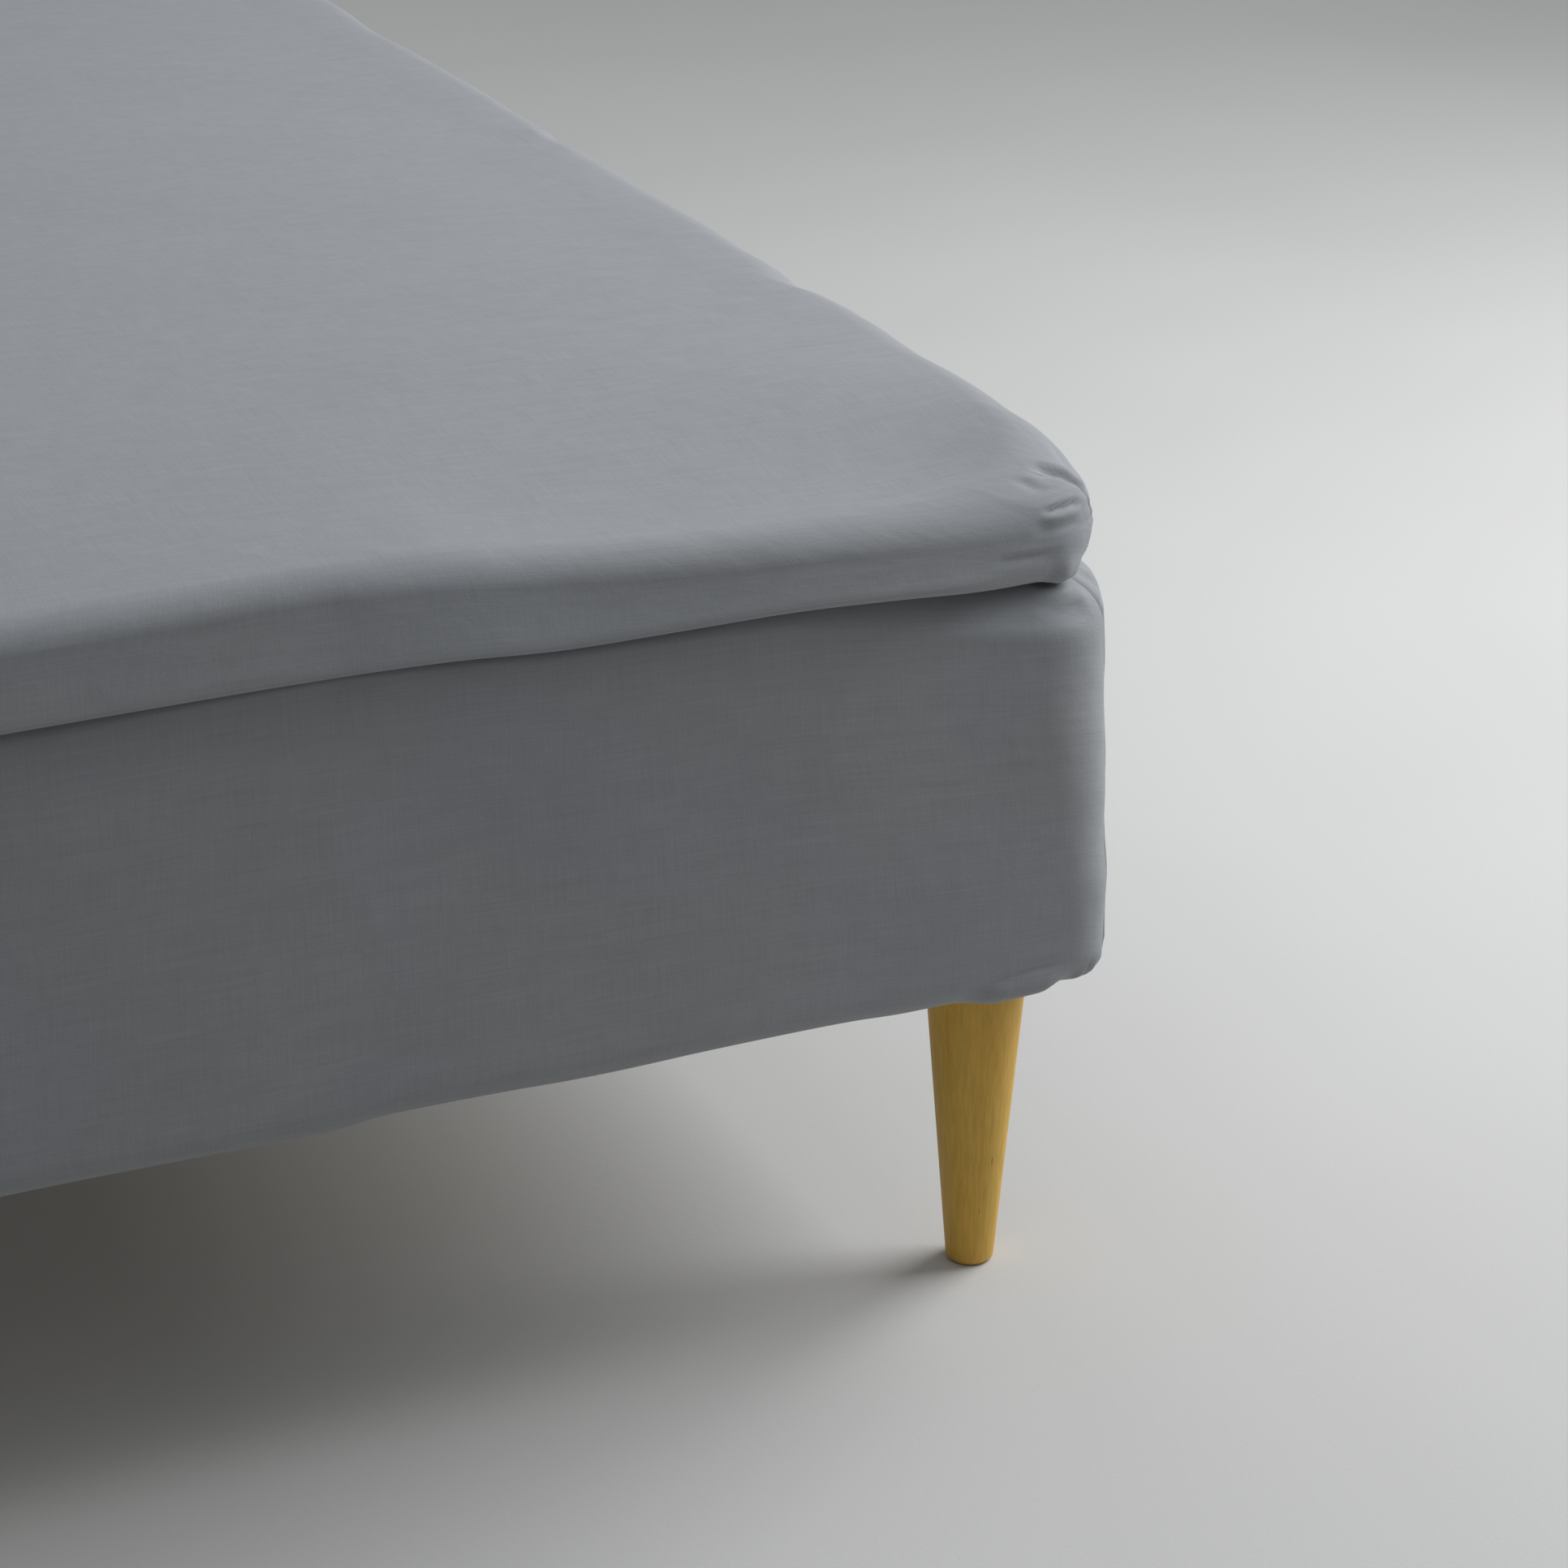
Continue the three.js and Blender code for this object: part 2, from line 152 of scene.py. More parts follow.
# ------------------------------------------------------------------ how the cloth sits
# Shape of the topper's ends between the corners: place across the bed, inward pull of the end, how far its
# wall leans back, and what is added to the run and the rise of the upper roll and of the lower roll.
END_SHAPE = (
    (-440, 0, 0, 0, 0, 0, 0),
    (-380, -6, 1, -6, -10, -3, -12),
    (-250, -14, 5, -13, -21, -9, -24),
    (-120, -14.5, 6, -14, -23, -9, -25),
    (-13, -14.5, 6, -14, -23, -9, -25),
    (47, -14.5, 6, -12, -21, -9, -25),
    (106, -14, 6, -11, -21, -9, -25),
    (172, -14, 6, -11, -21, -9, -25),
    (238, -14, 6, -11, -21, -9, -25),
    (308, -13, 5, -9, -18, -9, -23),
    (350, -9, 2.5, -6, -13, -6, -18),
    (385, -4, 0.5, -4, -8, -2, -8),
    (415, 0, 0, -2, -6, 0, 0),
    (440, 0, 0, 0, 0, 0, 0),
)
FLARE = 0.4  # share of the wall's lean that lies low down
PULL_FADE = (70, 190)  # insets between which the pull fades on the topper's top and underside
# How far the topper's top sinks toward its ends: place across the bed, drop. It fades inward.
END_SAG = (
    (-440, 0.5),
    (-380, 5),
    (-250, 3),
    (-120, 1),
    (-13, 0),
    (47, 2),
    (106, 9),
    (172, 14),
    (238, 16),
    (308, 17),
    (350, 14.5),
    (385, 9.5),
    (415, 3.5),
    (440, 0.5),
)
END_SAG_FADE = (30, 190)
# The box's ends stand higher between the corners, where the sheet does not draw them down: place across the
# bed, height. The topper's underside follows. The rise fades over these insets from the end.
END_CROWN = (
    (-440, 0),
    (-380, 7),
    (-250, 18),
    (-120, 20.6),
    (-13, 21.3),
    (47, 20),
    (106, 16.5),
    (172, 16.5),
    (238, 16.8),
    (308, 13.4),
    (350, 9),
    (385, 5),
    (415, 2.5),
    (440, 0),
)
CROWN_FADE = (12, 120)
CROWN_CLEARANCE = 0.04  # share by which the topper's underside rises more than the box under it
# The box's upper roll is wide near its corners and tight between them: place across the bed, what is added to
# its run and to its rise.
BOX_ROLL = ((-400, 0, 10), (-330, -5, 6), (-200, -12, -12), (200, -12, -12), (330, -5, 6), (400, 0, 10))
# How far the box's lower edge rises between the legs: place across the bed, lift.
BOX_LIFT = (
    (-320, 0),
    (-180, 2),
    (-60, 0.5),
    (-20, 0.5),
    (5, 3.2),
    (40, 3.2),
    (80, 2.5),
    (115, 1.2),
    (150, 1),
    (195, 1.9),
    (250, 2.1),
    (290, 1.6),
    (325, 0),
)
BOX_LIFT_FADE = 110  # rise over which the lift fades
END_FACING = 0.99  # the ends proper face the foot or the head by more than this

Dent = namedtuple("Dent", "side start reach depth")  # side 1 is right; start is from the foot end
SIDE_DENTS = (
    Dent(1, 38, 26, 3.5),
    Dent(1, 80, 44, 1.5),
    Dent(1, 185, 50, 2),
    Dent(1, 258, 26, -2),
    Dent(1, 293, 24, -2),
    Dent(1, 346, 28, 8.5),
    Dent(1, 372, 38, 5.5),
    Dent(1, 445, 70, 2),
    Dent(1, 775, 40, 3),
    Dent(1, 1180, 90, 4),
    Dent(1, 1620, 120, 5),
    Dent(-1, 90, 60, 4),
    Dent(-1, 520, 110, 5),
    Dent(-1, 980, 60, 4),
    Dent(-1, 1430, 120, 5),
)

# Hems: inset of the box sheet's hem at the legs and between them, the inset of a leg's middle and how far
# from it the hem is clear of the leg, then the inset of the topper sheet's hem, which waves.
BOX_HEM = {"at_leg": 27, "between": 58, "leg_inset": 64, "clear": 70}
TOPPER_HEM = {"inset": 105, "wave": 9, "length": 970}
# Gathers along the box sheet's hem. Their spacing swings, and they fade out over distances from the hem.
GATHER = {"height": 1.6, "length": 17, "swing": 1.5, "swing_length": 41, "full": 1, "none": 12}

# Each corner's seam wanders along the edge as it climbs: (rise up the cloth, shift along the edge).
TOPPER_SEAM = ((-10, 3), (20, 6), (31, 8), (40, 5), (49, 1), (58, 1), (68, -4), (76, -11), (90, -13))
BOX_SEAM = ((0, 2), (60, 6), (159, 10), (219, 7), (243, 1), (256, -3))
SEAM = {"depth": 1.2, "half_width": 1.1, "fade": 12}
# Small puckers beside a seam. They start clear of its groove and differ by side and by corner.
PUCKER = {"height": 0.4, "length": 8.5, "reach": 9, "clear": 3, "side_phase": 1.7, "corner_phase": 1.3}
# Rises where the seams end, and over which folds and unevenness fade in and out.
TOPPER_SEAM_TOP = 84
TOPPER_FOLDS_START = (-4, 8)
BOX_SEAM_TOP = 262
BOX_FOLDS_START = (0, 14)
BOX_FOLDS_END = (262, 275)
# How much of the seams' wander, and of the folds below, each corner shows, by the signs of its X and Y.
Corner = namedtuple("Corner", "x y wander folds")
CORNERS = (
    Corner(1, -1, 1, 1),
    Corner(1, 1, -0.7, 0.8),
    Corner(-1, 1, 0.8, 0.9),
    Corner(-1, -1, -0.6, 0.85),
)

# Creases and soft folds near the corner seams, from one end (a) to the other (b). "along" is the distance
# along the edge from the corner, negative on the foot and head ends. "rise" is the distance up the cloth from
# where it turns under. "bow" bends the fold upwards, "reach" is its half width, "depth" is positive for a
# trough and negative for a ridge, and "lip" is the height of the ridge along its upper side.
Fold = namedtuple("Fold", "along_a rise_a along_b rise_b bow reach depth lip")
FOLD_STARTS, FOLD_ENDS = (-0.05, 0.3), (0.7, 1.05)  # shares of its length over which a fold comes and goes
TOPPER_FOLDS = (
    Fold(-9, 82, 4, 54, 1, 5, 3.4, 0.8),
    Fold(-34, 12, 0, 6, 0, 13, -5, 0),
    Fold(-22, 83, -24, 70, 2, 5, 0.9, 0.4),
    Fold(-38, 61, -7, 54, 1, 3, 3.2, 0.6),
    Fold(-44, 57, -12, 50.5, 0, 4, -0.9, 0),
    Fold(-54, 53, -14, 46, -1, 6, 1.5, 0),
    Fold(-85, 31, -28, 22, 1, 8, 1.4, 0.4),
    Fold(4, 62, 30, 72, 2, 6, 1.2, 0.3),
    Fold(6, 48, 38, 44, 2, 7, 1.2, 0.4),
    Fold(4, 26, 44, 20, -2, 8, 1.0, 0.3),
)
BOX_FOLDS = (
    Fold(-30, 252, -2, 242, 1, 5, -3.0, 0),
    Fold(-32, 241, -5, 234, 1, 4.5, 2.0, 0),
    Fold(3, 258, 12, 240, 1, 3.5, 2.2, 0.6),
    Fold(-120, 232, -4, 222, 2, 11, -2.2, 0),
    Fold(4, 232, 70, 226, 4, 12, 1.2, 0.5),
    Fold(-345, 174, -225, 150, 0, 9, 0.5, 0.3),
    Fold(-350, 120, -235, 92, -3, 9, 0.6, 0.3),
)
# Where the box sheet hangs a little slack beside a leg, and the knot of cloth at the seam's foot.
BOX_SLACK = (
    Fold(-88, 16, -26, 19, 0, 13, -6, 0),
    Fold(-20, 17, -6, 16, 0, 8, -2.6, 0),
    Fold(-12, 20, 2, 24, 0, 9, -2.6, 0),
    Fold(34, 22, 92, 22, 0, 17, -3, 0),
    Fold(-86, 26, -30, 30, 2, 2.5, 0.9, 0),
)
# Creases on the topper's top, placed by X and Y, and a low ridge inside its long edges, which comes up from
# this start in Y over the length of its fade.
TOP_CREASES = (
    Fold(398, -182, 385, -244, 2, 11, 1.8, 1.0),
    Fold(402, -238, 383, -318, 2, 9, 1.1, 0.6),
)
EDGE_RIDGE = {"inset": 48, "reach": 34, "height": 1.0, "start": -760, "fade": 150}

# Broad unevenness: number of crossed waves, the longest one, their height, the random seed, and how far apart
# the corners lie in them.
Waves = namedtuple("Waves", "count longest height seed apart", defaults=(0,))
TOP_WAVES = Waves(9, 430, 0.8, 11)
TOPPER_WALL_WAVES = Waves(9, 260, 0.7, 12, 400)
BOX_WALL_WAVES = Waves(11, 330, 0.9, 13, 500)

# Legs, and the segments round one, in the rounding of its foot and up its taper.
LEG_FOOT = {"radius": 14.4, "rounding": 4}
LEG_TOP = {"radius": 30.5, "chamfer": 1}
LEG_STEPS = {"round": 96, "rounding": 8, "taper": 24}
LEG_SHARP = 50  # degrees from which an edge of the leg looks sharp


# ------------------------------------------------------------------ small helpers
def mix(a, b, share):
    return a + (b - a) * share


def smooth(low, high, x):
    t = np.clip((x - low) / (high - low), 0, 1)
    return t * t * (3 - 2 * t)


def hump(x):
    """1 at 0, falling softly to 0 at 1 either way."""
    return 0.5 + 0.5 * np.cos(np.pi * np.clip(x, -1, 1))


def through(rows, column, x):
    """A smooth curve through one column of a table whose first column is x, level at both ends."""
    xs = np.array([row[0] for row in rows], float)
    ys = np.array([row[column] for row in rows], float)
    slopes = np.zeros(len(xs))
    slopes[1:-1] = (ys[2:] - ys[:-2]) / (xs[2:] - xs[:-2])
    x = np.clip(x, xs[0], xs[-1])
    i = np.clip(np.searchsorted(xs, x, side="right") - 1, 0, len(xs) - 2)
    width = xs[i + 1] - xs[i]
    t = (x - xs[i]) / width
    ends = (1 + 2 * t) * (1 - t) ** 2 * ys[i] + t * t * (3 - 2 * t) * ys[i + 1]
    return ends + t * (1 - t) * width * ((1 - t) * slopes[i] - t * slopes[i + 1])


def uneven(x, y, waves):
    """A gently uneven surface: crossed waves of random length, direction and phase."""
    random = np.random.default_rng(waves.seed)
    total = 0
    for _ in range(waves.count):
        direction, phase = random.uniform(0, 2 * np.pi, 2)
        length = waves.longest * random.uniform(0.3, 1)
        ahead = x * np.cos(direction) + y * np.sin(direction)
        total = total + np.sin(2 * np.pi * ahead / length + phase)
    return waves.height * total / math.sqrt(waves.count)


# ------------------------------------------------------------------ stations round a sheet
def side_shares(length, steps, right_side):
    """Shares of the way along a straight side, closer together near its corners and, on the right, a dent."""
    places = np.linspace(0, length, CROWDING["samples"])
    from_corner = np.minimum(places, length - places)
    density = 1 + CROWDING["corner"] * np.exp(-from_corner / CROWDING["corner_reach"])
    if right_side:
        density += CROWDING["dent"] * hump((places - CROWDING["dent_start"]) / CROWDING["dent_reach"])
    reached = np.concatenate([[0], np.cumsum((density[1:] + density[:-1]) / 2)])
    even = np.arange(1, steps) / steps * reached[-1]
    return np.interp(even, reached, places) / length


Stations = namedtuple("Stations", "x y angle turned forward along corner")


def make_stations(section, steps):
    """Places round a rounded rectangle, anticlockwise from the right foot corner, as arrays: the arc centre's
    signs, the outward normal's angle, the angle from the corner's bisector as a share of the arc's half,
    which way along the edge that angle grows, the distance along the edge from the nearest corner (negative
    on the ends), and that corner's number."""
    radius = section.radius
    half_arc = radius * math.pi / 4
    rows = []
    for number, corner in enumerate(CORNERS):
        following = CORNERS[(number + 1) % 4]
        onto_long = number % 2 == 0
        forward = 1 if onto_long else -1
        bisector = math.pi / 2 * (number - 0.5)
        for u in np.linspace(-1, 1, steps.corner + 1):
            turned = math.copysign(abs(u) ** CROWDING["seam_power"], u)
            angle = bisector + turned * math.pi / 4
            rows.append((corner.x, corner.y, angle, turned, forward, forward * turned * half_arc, number))
        half = section.half_length if onto_long else section.half_width
        length = 2 * (half - radius)
        shares = side_shares(length, steps.long if onto_long else steps.short, number == 0)
        for share in shares:
            x, y = mix(corner.x, following.x, share), mix(corner.y, following.y, share)
            near = number if share <= 0.5 else (number + 1) % 4
            away = min(share, 1 - share) * length + half_arc
            rows.append((x, y, bisector + math.pi / 4, 1, forward, forward * away, near))
    return Stations(*np.array(rows, float).T)


def by_corner(stations, name):
    """A value of the nearest corner, at each station."""
    return np.array([getattr(corner, name) for corner in CORNERS])[stations.corner.astype(int)]


def outline(section, stations):
    """X and Y of the plain outline at each station."""
    x = stations.x * (section.half_width - section.radius) + section.radius * np.cos(stations.angle)
    y = stations.y * (section.half_length - section.radius) + section.radius * np.sin(stations.angle)
    return x, y


# ------------------------------------------------------------------ cross-section of a sheet
# What each station adds to the lean of the wall and to the run and rise of the upper roll and the lower roll.
Added = namedtuple("Added", "lean high_run high_rise low_run low_rise")


def cross_section(section, steps, hem, added):
    """Insets and heights above the base, a row for each ring from the hem to the flat top."""
    even = np.zeros_like(hem)
    lean = added.lean
    high_run, high_rise = section.high_run + added.high_run, section.high_rise + added.high_rise
    low_run, low_rise = section.low_run + added.low_run, section.low_rise + added.low_rise
    rows = []
    for i in range(steps.under):
        rows.append((mix(hem, low_run, i / steps.under), even))
    for i in range(steps.low):
        angle = math.pi / 2 * (1 - i / steps.low)
        inset = low_run * (1 - math.cos(angle) ** section.power)
        rows.append((inset, low_rise * (1 - math.sin(angle) ** section.power)))
    for i in range(steps.wall + 1):
        share = i / steps.wall
        flared = 1 - (1 - share) ** 3
        up = mix(low_rise, section.height - high_rise, share)
        rows.append((lean * mix(share, flared, FLARE), up))
    for i in range(1, steps.high + 1):
        angle = math.pi / 2 * (i / steps.high)
        inset = lean + high_run * (1 - math.cos(angle) ** section.power)
        rows.append((inset, section.height - high_rise * (1 - math.sin(angle) ** section.power)))
    for inset in steps.shelf:
        rows.append((even + inset, even + section.height))
    return np.array([row[0] for row in rows]), np.array([row[1] for row in rows])


def rise_up_cloth(inset, up, start):
    """Distance up the cloth at each row, from the row where it turns under."""
    stretch = np.hypot(np.diff(inset, axis=0), np.diff(up, axis=0))
    rise = np.concatenate([np.zeros_like(up[:1]), np.cumsum(stretch, axis=0)])
    return rise - rise[start]


def place(section, stations, angle, inset, up):
    """Points of the rings. A ring keeps its corner radius at any inset."""
    radius = through(section.corners, 1, up)
    x = stations.x * (section.half_width - inset - radius) + radius * np.cos(angle)
    y = stations.y * (section.half_length - inset - radius) + radius * np.sin(angle)
    return np.stack([x, y, section.base + up], -1)


def ring_normals(points):
    along = np.roll(points, -1, 1) - np.roll(points, 1, 1)
    across = np.empty_like(points)
    across[1:-1] = points[2:] - points[:-2]
    across[0], across[-1] = points[1] - points[0], points[-1] - points[-2]
    normals = np.cross(along, across)
    return normals / np.linalg.norm(normals, axis=-1, keepdims=True)


# ------------------------------------------------------------------ folds, seams and hems
def fold_height(fold, along, rise):
    """Height of one fold over the smooth cloth."""
    run, climb = fold.along_b - fold.along_a, fold.rise_b - fold.rise_a
    length = math.hypot(run, climb)
    t = ((along - fold.along_a) * run + (rise - fold.rise_a) * climb) / length**2
    side = ((rise - fold.rise_a) * run - (along - fold.along_a) * climb) / length
    side = side - fold.bow * 4 * t * (1 - t)
    fade = smooth(*FOLD_STARTS, t) * (1 - smooth(*FOLD_ENDS, t))
    lip = fold.lip * hump((side - fold.reach) / fold.reach)
    return fade * (lip - fold.depth * hump(side / fold.reach))


def corner_folds(folds, stations, along, rise):
    return by_corner(stations, "folds") * sum(fold_height(fold, along, rise) for fold in folds)


def seam_height(stations, rise, top):
    """The sewn seam up each corner: a thin groove with small puckers on both sides of it."""
    off = stations.along
    groove = -SEAM["depth"] * np.exp(-((off / SEAM["half_width"]) ** 2))
    phase = np.where(off > 0, PUCKER["side_phase"], 0) + stations.corner * PUCKER["corner_phase"]
    pucker = PUCKER["height"] * np.sin(2 * np.pi * rise / PUCKER["length"] + phase)
    beside = np.exp(-np.abs(off) / PUCKER["reach"]) * smooth(0, PUCKER["clear"], np.abs(off))
    return (groove + pucker * beside) * (1 - smooth(top - SEAM["fade"], top, rise))


def gathers(stations, inset, hem):
    """Small gathers that the elastic draws in the hem under the edge."""
    around = stations.along + stations.corner * GATHER["length"] / 3
    swing = GATHER["swing"] * np.sin(around / GATHER["swing_length"])
    wave = 0.5 + 0.5 * np.sin(2 * np.pi * around / GATHER["length"] + swing)
    return GATHER["height"] * wave * (1 - smooth(GATHER["full"], GATHER["none"], hem - inset))


def on_ends(section, stations, table, column):
    """A column of a table of the ends at each station of a sheet; none on the long sides."""
    x, _ = outline(section, stations)
    facing = np.sin(stations.angle)
    return np.abs(facing) * through(table, column, -np.sign(facing) * x)


def near_ends(table, fade, x, y):
    """A table of the ends at points of the bed, fading over insets from its ends."""
    return through(table, 1, -np.sign(y) * x) * (1 - smooth(*fade, HALF_LENGTH - np.abs(y)))


def crown(x, y):
    """How far the box's top stands up near its ends."""
    return near_ends(END_CROWN, CROWN_FADE, x, y)


def side_dents(stations):
    """How far the topper's long sides are pulled in."""
    _, y = outline(TOPPER, stations)
    facing = np.cos(stations.angle)
    return sum(
        np.maximum(0, facing * dent.side) * dent.depth * hump((y + HALF_LENGTH - dent.start) / dent.reach)
        for dent in SIDE_DENTS
    )


def wall_waves(stations, rise, normals, waves):
    """Broad unevenness of the upright cloth."""
    upright = 1 - np.abs(normals[..., 2])
    return upright * uneven(stations.along + waves.apart * stations.corner, rise, waves)


def top_relief(x, y):
    """Height of the topper's top over a plane."""
    inset = TOPPER.half_width - np.abs(x)
    ridge = EDGE_RIDGE["height"] * hump((inset - EDGE_RIDGE["inset"]) / EDGE_RIDGE["reach"])
    ridge = ridge * smooth(EDGE_RIDGE["start"], EDGE_RIDGE["start"] + EDGE_RIDGE["fade"], y)
    creases = sum(fold_height(crease, x, y) for crease in TOP_CREASES)
    return uneven(x, y, TOP_WAVES) + ridge + creases


# ------------------------------------------------------------------ the two sheets as rings of points
# A face of cloth: ring points, the rise of each, the row where the flat top begins, its stations and section.
Face = namedtuple("Face", "points rise edge stations section")


def laid_face(section, steps, stations, hem, added, seam, settle):
    """The face of a sheet. settle gives, from the place along the edge, the rise, the inset and the smooth
    cloth's normal, how far each point is pulled in and how far it stands out along that normal."""
    inset, up = cross_section(section, steps, hem, added)
    rise = rise_up_cloth(inset, up, steps.under)
    shift = by_corner(stations, "wander") * through(seam, 1, rise) * (1 - stations.turned**2)
    angle = stations.angle + stations.forward * shift / section.radius
    along = stations.along + shift
    normals = ring_normals(place(section, stations, angle, inset, up))
    pull, height = settle(along, rise, inset, normals)
    points = place(section, stations, angle, inset + pull, up) + normals * height[..., None]
    edge = steps.under + steps.low + steps.wall + steps.high
    return Face(points, rise, edge, stations, section)


def core_inset(stations, rise):
    """How far the mattress lies inside the outer face of its sheet."""
    corner = CORE_INSIDE["corner"] * hump(stations.along / CORE_INSIDE["corner_reach"])
    return mix(CORE_INSIDE["under"], CORE_INSIDE["level"] + corner, smooth(*CORE_INSIDE["widens"], rise))


def topper_face(steps, core=False):
    """The topper's sheet, or the topper in it where core is true."""
    stations = make_stations(TOPPER, steps)
    added = Added(*(on_ends(TOPPER, stations, END_SHAPE, column) for column in range(2, 7)))
    around = stations.along + stations.corner * GATHER["length"]
    hem = TOPPER_HEM["inset"] + TOPPER_HEM["wave"] * np.sin(2 * np.pi * around / TOPPER_HEM["length"])

    def settle(along, rise, inset, normals):
        pull = on_ends(TOPPER, stations, END_SHAPE, 1) + side_dents(stations)
        pull = pull * (1 - smooth(*PULL_FADE, inset))
        height = corner_folds(TOPPER_FOLDS, stations, along, rise)
        height = height + seam_height(stations, rise, TOPPER_SEAM_TOP)
        height = height + wall_waves(stations, rise, normals, TOPPER_WALL_WAVES)
        height = height * smooth(*TOPPER_FOLDS_START, rise)
        return pull, height - (core_inset(stations, rise) if core else 0)

    face = laid_face(TOPPER, steps, stations, hem, added, TOPPER_SEAM, settle)
    top = np.maximum(0, ring_normals(face.points)[..., 2])
    x, y, z = np.moveaxis(face.points, -1, 0)
    rise = (1 + CROWN_CLEARANCE) * crown(x, y) * (1 - smooth(0, 1, (z - TOPPER.base) / TOPPER.height))
    row = np.arange(len(face.points))[:, None]
    share_up = np.clip((row - steps.under - steps.low) / steps.wall, 0, 1)
    face.points[..., 2] += top * top_relief(x, y) + rise - share_up * near_ends(END_SAG, END_SAG_FADE, x, y)
    return face


def box_hem(stations):
    """Inset of the box sheet's hem, which keeps outside the legs and runs further in between them."""
    x, y = outline(BOX, stations)
    leg_x, leg_y = BOX.half_width - BOX_HEM["leg_inset"], BOX.half_length - BOX_HEM["leg_inset"]
    from_leg = np.where(stations.along < 0, np.abs(np.abs(x) - leg_x), np.abs(np.abs(y) - leg_y))
    clear = smooth(LEG_TOP["radius"], BOX_HEM["clear"], from_leg)
    clear = np.where(np.abs(stations.along) < BOX_HEM["leg_inset"], 0, clear)
    return mix(BOX_HEM["at_leg"], BOX_HEM["between"], clear)


def box_face(steps, core=False):
    """The box's sheet, or the box mattress in it where core is true. Only the sheet's hem is gathered."""
    stations = make_stations(BOX, steps)
    hem = box_hem(stations)
    none = np.zeros_like(stations.x)
    roll_run, roll_rise = (on_ends(BOX, stations, BOX_ROLL, column) for column in (1, 2))
    added = Added(none, roll_run, roll_rise, none, none)

    def settle(along, rise, inset, normals):
        height = corner_folds(BOX_FOLDS, stations, along, rise)
        height = height + seam_height(stations, rise, BOX_SEAM_TOP)
        height = height + wall_waves(stations, rise, normals, BOX_WALL_WAVES)
        under = 1 - smooth(*BOX_FOLDS_START, rise)
        gathered = 0 if core else under * gathers(stations, inset, hem)
        height = height * (1 - under) * (1 - smooth(*BOX_FOLDS_END, rise)) + gathered
        height = height + corner_folds(BOX_SLACK, stations, along, rise)
        return 0, height - (core_inset(stations, rise) if core else 0)

    face = laid_face(BOX, steps, stations, hem, added, BOX_SEAM, settle)
    x, _ = outline(BOX, stations)
    lift = through(BOX_LIFT, 1, stations.y * -x) * (np.abs(np.sin(stations.angle)) > END_FACING)
    x, y, z = np.moveaxis(face.points, -1, 0)
    share_up = smooth(0, 1, (z - BOX.base) / BOX.height)
    face.points[..., 2] += lift * (1 - smooth(0, BOX_LIFT_FADE, face.rise)) + crown(x, y) * share_up
    return face


# ------------------------------------------------------------------ meshes
def fill_points(face, spacing):
    """Evenly spaced points inside a face's last ring."""
    section = face.section
    ring = face.points[-1, :, :2]
    margin = spacing * FILL_MARGIN
    half_x, half_y = np.abs(ring[:, 0]).max(), np.abs(ring[:, 1]).max()
    radius = section.corners[-1][1]
    xs = np.arange(-half_x, half_x + 1, spacing)
    ys = np.arange(-half_y, half_y + 1, spacing)
    x, y = (grid.ravel() for grid in np.meshgrid(xs, ys))
    order = np.argsort(ring[:, 0])
    ends = [ring[order][ring[order][:, 1] * sign > half_y - 2 * radius] for sign in (1, -1)]
    reach_up, reach_down = (np.interp(x, end[:, 0], np.abs(end[:, 1])) for end in ends)
    reach = np.where(y > 0, reach_up, reach_down) - margin
    corner = np.hypot(np.maximum(np.abs(x) - half_x + radius, 0), np.maximum(np.abs(y) - reach + radius, 0))
    inside = (np.abs(x) < half_x - margin) & (np.abs(y) < reach) & (corner < radius)
    return np.stack([x[inside], y[inside]], -1)


def fill_ring(ring, inner):
    """Triangles, counted from 0 round the ring and then through the inner points, that fill the ring."""
    points = [Vector(p) for p in ring[:, :2]] + [Vector(p) for p in inner]
    edges = [(i, (i + 1) % len(ring)) for i in range(len(ring))]
    _, _, faces, origins, _, _ = delaunay_2d_cdt(points, edges, [], 1, 1e-4)
    return [[origins[v][0] for v in face] for face in faces]


def ring_quads(rings, stations):
    r, k = (grid.ravel() for grid in np.meshgrid(np.arange(rings - 1), np.arange(stations), indexing="ij"))
    j = (k + 1) % stations
    return np.stack([r * stations + k, r * stations + j, (r + 1) * stations + j, (r + 1) * stations + k], -1)


def flap_coordinates(face):
    """Places of the ring points on the cloth laid flat, first as part of an end flap, then of a side flap. A
    flap lies straight out from the edge of the flat top, so that the weave runs on over it."""
    x, y = face.points[..., 0], face.points[..., 1]
    down = np.maximum(0, face.rise[face.edge] - face.rise)
    level = face.rise >= face.rise[face.edge]
    edge_x, edge_y = x[face.edge], y[face.edge]
    end_u = np.where(level, x, edge_x)
    end_v = np.where(level, y, edge_y + by_corner(face.stations, "y") * down)
    side_u = np.where(level, x, edge_x + by_corner(face.stations, "x") * down)
    side_v = np.where(level, y, edge_y)
    return np.stack([end_u, end_v], -1).reshape(-1, 2), np.stack([side_u, side_v], -1).reshape(-1, 2)


def new_piece(name, points, faces, material):
    mesh = bpy.data.meshes.new(name)
    mesh.from_pydata((np.asarray(points) * MM).tolist(), [], [list(map(int, face)) for face in faces])
    mesh.materials.append(material)
    mesh.shade_smooth()
    piece = bpy.data.objects.new(name, mesh)
    bpy.context.scene.collection.objects.link(piece)
    return piece


def apply_modifiers(piece):
    depsgraph = bpy.context.evaluated_depsgraph_get()
    mesh = bpy.data.meshes.new_from_object(piece.evaluated_get(depsgraph))
    piece.modifiers.clear()
    old, piece.data = piece.data, mesh
    bpy.data.meshes.remove(old)
    mesh.name = piece.name


